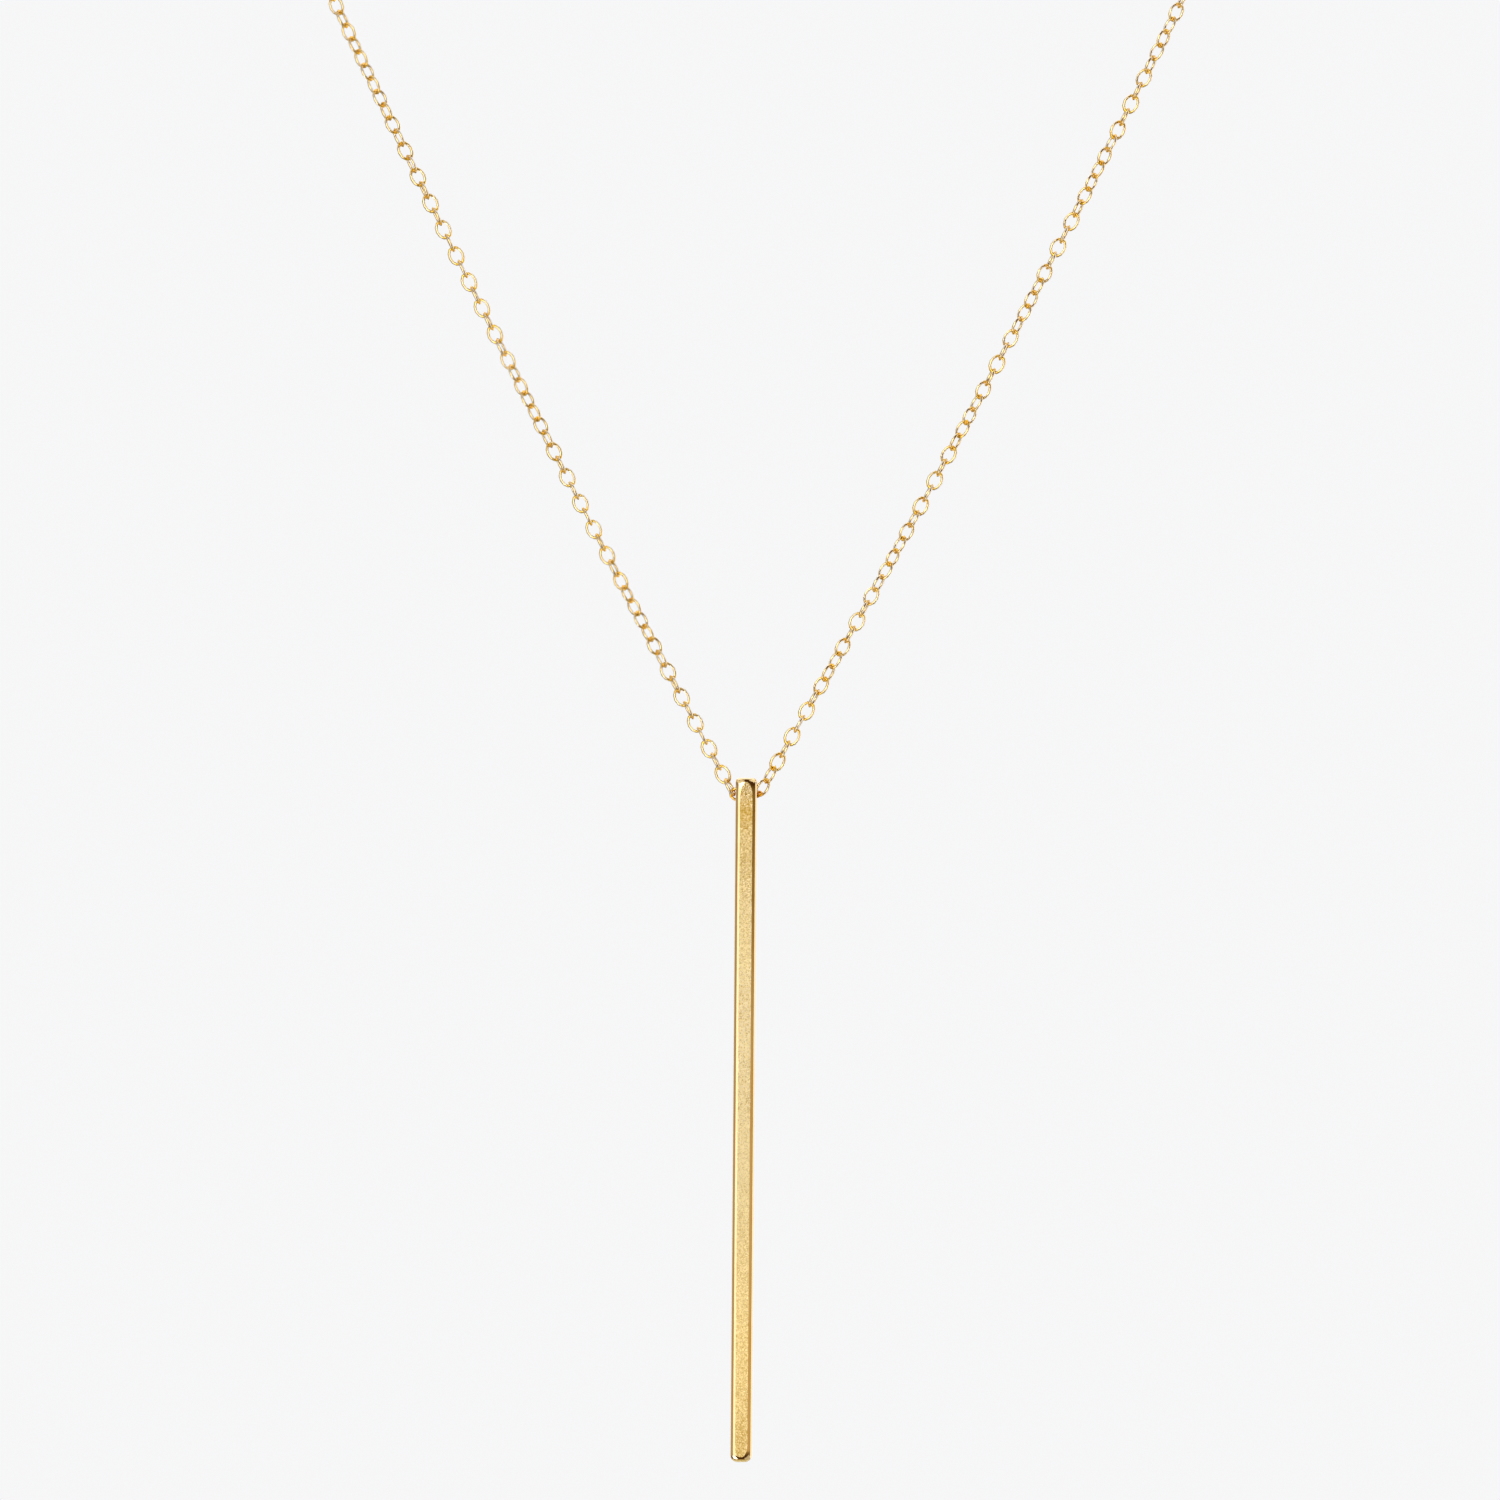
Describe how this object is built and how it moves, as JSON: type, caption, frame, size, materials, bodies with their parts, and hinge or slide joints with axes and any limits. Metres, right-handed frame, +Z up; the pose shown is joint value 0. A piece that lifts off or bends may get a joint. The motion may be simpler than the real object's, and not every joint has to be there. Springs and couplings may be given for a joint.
{
  "type": "bar pendant necklace",
  "caption": "Slim upright bar pendant with a matte front, hung by a cross hole on a fine oval-link chain that closes round the neck with a ring clasp.",
  "frame": {"origin": "centre of the clasp's ring at the nape, where the necklace hangs on the neck", "axes": "+X to the side, the bar hangs in front at -Y with its matte face towards -Y, +Z up"},
  "size_m": [0.1072, 0.1036, 0.1643],
  "materials": {
    "bar_gold": "warm gold plate, fine sand-blasted front and back, polished rounded edges and ends",
    "chain_gold": "polished gold plate on round wire",
    "clasp_gold": "polished gold plate"
  },
  "bodies": {
    "necklace": {"chain_front": "chain_gold", "chain_back": "chain_gold", "clasp": "clasp_gold"},
    "pendant": {"bar": "bar_gold"}
  },
  "joints": [
    {"name": "bar_swing", "type": "hinge", "parent": "necklace", "child": "pendant", "pos_m": [0, -0.102, -0.113], "axis": [1, 0, 0], "range_deg": [-90, 90]}
  ]
}
